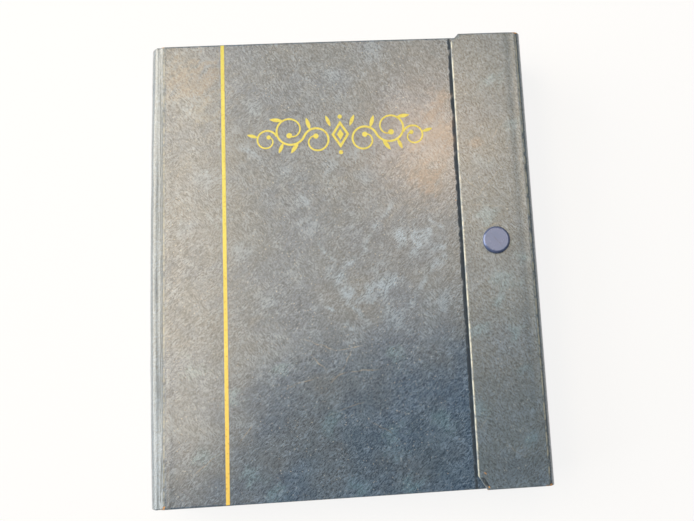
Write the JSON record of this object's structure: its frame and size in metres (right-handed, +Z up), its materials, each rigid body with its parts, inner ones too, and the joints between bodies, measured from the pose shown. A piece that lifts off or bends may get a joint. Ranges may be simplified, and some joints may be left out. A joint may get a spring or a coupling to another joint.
{
  "type": "stamp album",
  "caption": "Ring-bound stock album for stamps: marbled leatherette case, gold rule, and a flap over the fore edge closed by a press stud.",
  "frame": {"origin": "middle of the underside of the closed album, at the back cover's outer face", "axes": "+X from the spine to the fore edge, +Y towards the head of the pages, +Z up through the front cover"},
  "size_m": [0.212, 0.254, 0.0459],
  "materials": {
    "leatherette": "marbled slate-blue leatherette, semi-gloss, fine grain",
    "greyboard": "raw greyboard",
    "lining_paper": "matt laid lining paper",
    "gold_foil": "hot-stamped gold foil, worn",
    "blue_enamel": "glossy blue enamel",
    "nickel": "bright nickel plate",
    "rail_steel": "plain spring steel",
    "stock_card": "matt black stock card",
    "clear_strip": "clear polyester film"
  },
  "bodies": {
    "back_cover": {"back_skin": "leatherette", "back_board": "greyboard", "back_lining": "lining_paper", "back_hinge": "leatherette", "fore_edge_hinge": "leatherette"},
    "spine": {"spine_skin": "leatherette", "spine_board": "greyboard", "spine_lining": "lining_paper", "ring_plate": "nickel", "lever_pins": "rail_steel", "spine_rivets": "nickel"},
    "front_cover": {"front_skin": "leatherette", "front_board": "greyboard", "front_lining": "lining_paper", "front_hinge": "leatherette", "gold_rule": "gold_foil", "gold_ornament": "gold_foil", "snap_stud": "nickel", "stud_eyelet": "nickel"},
    "fore_edge": {"fore_edge_skin": "leatherette", "fore_edge_board": "greyboard", "fore_edge_lining": "lining_paper"},
    "flap": {"flap_skin": "leatherette", "flap_board": "greyboard", "flap_lining": "lining_paper", "flap_hinge": "leatherette", "snap_cap": "blue_enamel", "snap_socket": "nickel"},
    "upper_ring_halves": {"upper_rail": "rail_steel", "upper_rings": "nickel"},
    "lower_ring_halves": {"lower_rail": "rail_steel", "lower_rings": "nickel"},
    "head_lever": {"head_lever": "nickel"},
    "tail_lever": {"tail_lever": "nickel"},
    "leaf_1": {"leaf_1": "stock_card", "strips_1": "clear_strip"},
    "leaf_2": {"leaf_2": "stock_card", "strips_2": "clear_strip"},
    "leaf_3": {"leaf_3": "stock_card", "strips_3": "clear_strip"},
    "leaf_4": {"leaf_4": "stock_card", "strips_4": "clear_strip"},
    "leaf_5": {"leaf_5": "stock_card", "strips_5": "clear_strip"},
    "leaf_6": {"leaf_6": "stock_card", "strips_6": "clear_strip"},
    "leaf_7": {"leaf_7": "stock_card", "strips_7": "clear_strip"},
    "leaf_8": {"leaf_8": "stock_card", "strips_8": "clear_strip"}
  },
  "joints": [
    {"name": "spine_hinge", "type": "hinge", "parent": "back_cover", "child": "spine", "pos_m": [-0.106, 0, 0], "axis": [0, -1, 0], "range_deg": [0, 90], "deforming": ["back_hinge"]},
    {"name": "front_hinge", "type": "hinge", "parent": "spine", "child": "front_cover", "pos_m": [-0.106, 0, 0.03809], "axis": [0, -1, 0], "range_deg": [0, 90], "deforming": ["front_hinge"]},
    {"name": "leaf_1_turn", "type": "hinge", "parent": "spine", "child": "leaf_1", "pos_m": [-0.09037, 0, 0.01905], "axis": [0, -1, 0], "range_deg": [-90, 90]},
    {"name": "leaf_2_turn", "type": "hinge", "parent": "spine", "child": "leaf_2", "pos_m": [-0.09037, 0, 0.01905], "axis": [0, -1, 0], "range_deg": [-90, 90]},
    {"name": "leaf_3_turn", "type": "hinge", "parent": "spine", "child": "leaf_3", "pos_m": [-0.09037, 0, 0.01905], "axis": [0, -1, 0], "range_deg": [-90, 90]},
    {"name": "leaf_4_turn", "type": "hinge", "parent": "spine", "child": "leaf_4", "pos_m": [-0.09037, 0, 0.01905], "axis": [0, -1, 0], "range_deg": [-90, 90]},
    {"name": "leaf_5_turn", "type": "hinge", "parent": "spine", "child": "leaf_5", "pos_m": [-0.09037, 0, 0.01905], "axis": [0, -1, 0], "range_deg": [-90, 90]},
    {"name": "leaf_6_turn", "type": "hinge", "parent": "spine", "child": "leaf_6", "pos_m": [-0.09037, 0, 0.01905], "axis": [0, -1, 0], "range_deg": [-90, 90]},
    {"name": "leaf_7_turn", "type": "hinge", "parent": "spine", "child": "leaf_7", "pos_m": [-0.09037, 0, 0.01905], "axis": [0, -1, 0], "range_deg": [-90, 90]},
    {"name": "leaf_8_turn", "type": "hinge", "parent": "spine", "child": "leaf_8", "pos_m": [-0.09037, 0, 0.01905], "axis": [0, -1, 0], "range_deg": [-90, 90]},
    {"name": "fore_edge_fold", "type": "hinge", "parent": "back_cover", "child": "fore_edge", "pos_m": [0.106, 0, 0], "axis": [0, 1, 0], "range_deg": [0, 90], "deforming": ["fore_edge_hinge"]},
    {"name": "flap_fold", "type": "hinge", "parent": "fore_edge", "child": "flap", "pos_m": [0.106, 0, 0.04374], "axis": [0, 1, 0], "range_deg": [0, 90], "deforming": ["flap_hinge"]},
    {"name": "ring_open", "type": "hinge", "parent": "spine", "child": "upper_ring_halves", "pos_m": [-0.10045, 0, 0.02825], "axis": [0, -1, 0], "range_deg": [0, 12]},
    {"name": "lower_ring_open", "type": "hinge", "parent": "spine", "child": "lower_ring_halves", "pos_m": [-0.10045, 0, 0.00985], "axis": [0, 1, 0], "range_deg": [0, 12]},
    {"name": "head_lever_press", "type": "hinge", "parent": "spine", "child": "head_lever", "pos_m": [-0.10025, 0.113, 0.01905], "axis": [0, 0, 1], "range_deg": [0, 20]},
    {"name": "tail_lever_press", "type": "hinge", "parent": "spine", "child": "tail_lever", "pos_m": [-0.10025, -0.113, 0.01905], "axis": [0, 0, -1], "range_deg": [0, 20]}
  ],
  "couplings": [
    {"joint": "front_hinge", "follows": "spine_hinge", "ratio": 1},
    {"joint": "leaf_1_turn", "follows": "spine_hinge", "ratio": 1},
    {"joint": "leaf_2_turn", "follows": "spine_hinge", "ratio": 1},
    {"joint": "leaf_3_turn", "follows": "spine_hinge", "ratio": 1},
    {"joint": "leaf_4_turn", "follows": "spine_hinge", "ratio": 1},
    {"joint": "leaf_5_turn", "follows": "spine_hinge", "ratio": -1},
    {"joint": "leaf_6_turn", "follows": "spine_hinge", "ratio": -1},
    {"joint": "leaf_7_turn", "follows": "spine_hinge", "ratio": -1},
    {"joint": "leaf_8_turn", "follows": "spine_hinge", "ratio": -1},
    {"joint": "lower_ring_open", "follows": "ring_open", "ratio": 1},
    {"joint": "head_lever_press", "follows": "ring_open", "ratio": 1.6666},
    {"joint": "tail_lever_press", "follows": "ring_open", "ratio": 1.6666}
  ]
}
